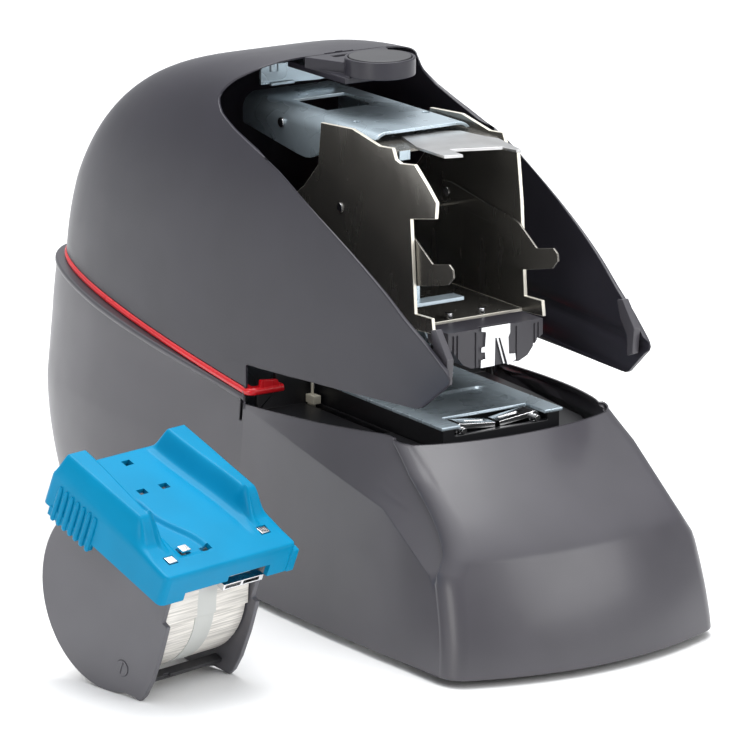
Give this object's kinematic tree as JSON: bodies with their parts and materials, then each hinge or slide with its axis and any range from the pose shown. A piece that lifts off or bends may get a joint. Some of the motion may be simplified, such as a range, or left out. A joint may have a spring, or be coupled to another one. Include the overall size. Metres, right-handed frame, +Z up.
{
  "type": "electric stapler",
  "caption": "Electric desk stapler with an open paper throat, a motor-driven pressing head and a removable staple-roll cassette standing beside it.",
  "frame": {"origin": "centre of the stapler's footprint on the desk plane, midway between its sides", "axes": "+Z up from the desk, +Y from the paper throat towards the rear, +X to the right seen from the paper side"},
  "size_m": [0.2509, 0.3322, 0.2089],
  "materials": {
    "housing_plastic": "satin-gloss injection-moulded plastic",
    "hood_plastic": "satin-gloss injection-moulded plastic",
    "button_plastic": "satin moulded plastic",
    "red_plastic": "glossy moulded plastic",
    "black_plastic": "fine matte texture",
    "nose_plastic": "satin moulded plastic",
    "rubber": "matte",
    "zinc": "zinc-plated sheet steel, bluish passivation",
    "bright_steel": "bright drawn steel",
    "nickel_plate": "nickel-plated sheet steel with bright cut edges",
    "motor_can": "drawn steel can",
    "gear_plastic": "natural acetal",
    "brass": "turned brass",
    "circuit_green": "solder mask",
    "blue_plastic": "glossy moulded plastic",
    "cassette_grey": "fine matte texture",
    "cassette_dark": "fine matte texture",
    "staple_wire": "glued galvanised wires, fine cross grain",
    "tape": "paper tape"
  },
  "bodies": {
    "root": {"lower_housing": "housing_plastic", "hood": "hood_plastic", "red_trim_strip": "red_plastic", "bottom_plate": "black_plastic", "rubber_feet": "rubber", "housing_screws": "bright_steel", "chassis_plate_left": "zinc", "chassis_plate_right": "zinc", "chassis_cross_plate": "zinc", "throat_tray": "black_plastic", "anvil_tower": "black_plastic", "platform_plate": "zinc", "clincher_pins": "bright_steel", "sensor_pin": "bright_steel", "motor": "motor_can", "middle_axle": "bright_steel", "head_shaft": "bright_steel", "circuit_board": "circuit_green", "power_inlet": "black_plastic", "switch_bezel": "black_plastic", "hood_tongue": "hood_plastic", "door_arms": "housing_plastic", "upper_bracket": "zinc", "return_spring": "bright_steel"},
    "head": {"bay_frame": "nickel_plate", "zinc_arm": "zinc", "arm_pin": "bright_steel", "bridge_plate": "nickel_plate", "feed_guide": "zinc", "nose_block": "nose_plastic", "former_clip": "bright_steel", "bay_studs": "bright_steel", "head_crossbar": "bright_steel", "follower_rollers": "bright_steel", "yoke_pin": "bright_steel"},
    "yoke": {"yoke": "nickel_plate"},
    "driver": {"driver_blade": "bright_steel"},
    "clincher_left": {"clincher_left": "bright_steel"},
    "clincher_right": {"clincher_right": "bright_steel"},
    "cam_shaft": {"cam_shaft": "bright_steel", "cams": "bright_steel", "cam_gear": "gear_plastic"},
    "middle_gear": {"middle_gear": "gear_plastic"},
    "motor_pinion": {"motor_pinion": "brass"},
    "paper_stop": {"paper_stop": "gear_plastic"},
    "rocker_switch": {"rocker_switch": "red_plastic"},
    "release_button": {"release_button": "button_plastic"},
    "paper_sensor": {"paper_sensor_lever": "gear_plastic"},
    "cassette": {"cassette_cover": "blue_plastic", "cassette_plate_left": "cassette_grey", "cassette_plate_right": "cassette_grey", "cassette_spindle": "bright_steel", "cassette_crossbar": "cassette_dark", "cassette_guide_clips": "bright_steel", "cassette_pivot_screws": "cassette_grey", "staple_lead": "staple_wire"},
    "staple_roll": {"staple_roll": "staple_wire", "roll_tape": "tape"}
  },
  "joints": [
    {"name": "cam_shaft_turn", "type": "hinge", "parent": "root", "child": "cam_shaft", "pos_m": [0, 0.03064, 0.06979], "axis": [1, 0, 0], "range_deg": [0, 150]},
    {"name": "head_press", "type": "hinge", "parent": "root", "child": "head", "pos_m": [0, 0.092, 0.118], "axis": [1, 0, 0], "range_deg": [0, 5.4], "stiffness_Nm_per_rad": 3, "springref_deg": -14.32, "deforming": ["return_spring"]},
    {"name": "driver_stroke", "type": "slide", "parent": "head", "child": "driver", "axis": [0, 0, -1], "range_m": [0, 0.0075]},
    {"name": "clincher_left_turn", "type": "hinge", "parent": "root", "child": "clincher_left", "pos_m": [-0.017, -0.0775, 0.0796], "axis": [0, -1, 0], "range_deg": [0, 6]},
    {"name": "clincher_right_turn", "type": "hinge", "parent": "root", "child": "clincher_right", "pos_m": [0.017, -0.0775, 0.0796], "axis": [0, 1, 0], "range_deg": [0, 6]},
    {"name": "middle_gear_turn", "type": "hinge", "parent": "root", "child": "middle_gear", "pos_m": [0.04, 0.05575, 0.05529], "axis": [1, 0, 0], "range_deg": [-472, 0]},
    {"name": "motor_turn", "type": "hinge", "parent": "root", "child": "motor_pinion", "pos_m": [0.04, 0.0753, 0.04818], "axis": [1, 0, 0], "range_deg": [0, 1572]},
    {"name": "yoke_tilt", "type": "hinge", "parent": "head", "child": "yoke", "pos_m": [0, -0.012, 0.154], "axis": [1, 0, 0], "range_deg": [-8, 0]},
    {"name": "paper_stop_slide", "type": "slide", "parent": "root", "child": "paper_stop", "axis": [0, -1, 0], "range_m": [0, 0.045]},
    {"name": "rocker_switch_tilt", "type": "hinge", "parent": "root", "child": "rocker_switch", "pos_m": [0.024, 0.1686, 0.04], "axis": [1, 0, 0], "range_deg": [0, 12]},
    {"name": "release_button_press", "type": "slide", "parent": "root", "child": "release_button", "axis": [0, 0, -1], "range_m": [0, 0.0025], "stiffness_N_per_m": 200, "springref_m": -0.001},
    {"name": "paper_sensor_turn", "type": "hinge", "parent": "root", "child": "paper_sensor", "pos_m": [0.015, -0.004, 0.071], "axis": [-1, 0, 0], "range_deg": [0, 30], "stiffness_Nm_per_rad": 0.0005, "springref_deg": -28.65},
    {"name": "cassette_lift", "type": "slide", "parent": "root", "child": "cassette", "axis": [0, 0, 1], "range_m": [0, 0.12]},
    {"name": "staple_roll_turn", "type": "hinge", "parent": "cassette", "child": "staple_roll", "pos_m": [-0.14451, -0.06585, 0.0355], "axis": [0.9799, 0.1994, 0], "continuous": true}
  ],
  "couplings": [
    {"joint": "head_press", "follows": "cam_shaft_turn", "ratio": 0.036},
    {"joint": "driver_stroke", "follows": "cam_shaft_turn", "m_per_rad": 0.0028647},
    {"joint": "clincher_left_turn", "follows": "cam_shaft_turn", "ratio": 0.04},
    {"joint": "clincher_right_turn", "follows": "cam_shaft_turn", "ratio": 0.04},
    {"joint": "middle_gear_turn", "follows": "cam_shaft_turn", "ratio": -3.1429},
    {"joint": "motor_turn", "follows": "cam_shaft_turn", "ratio": 10.476}
  ]
}
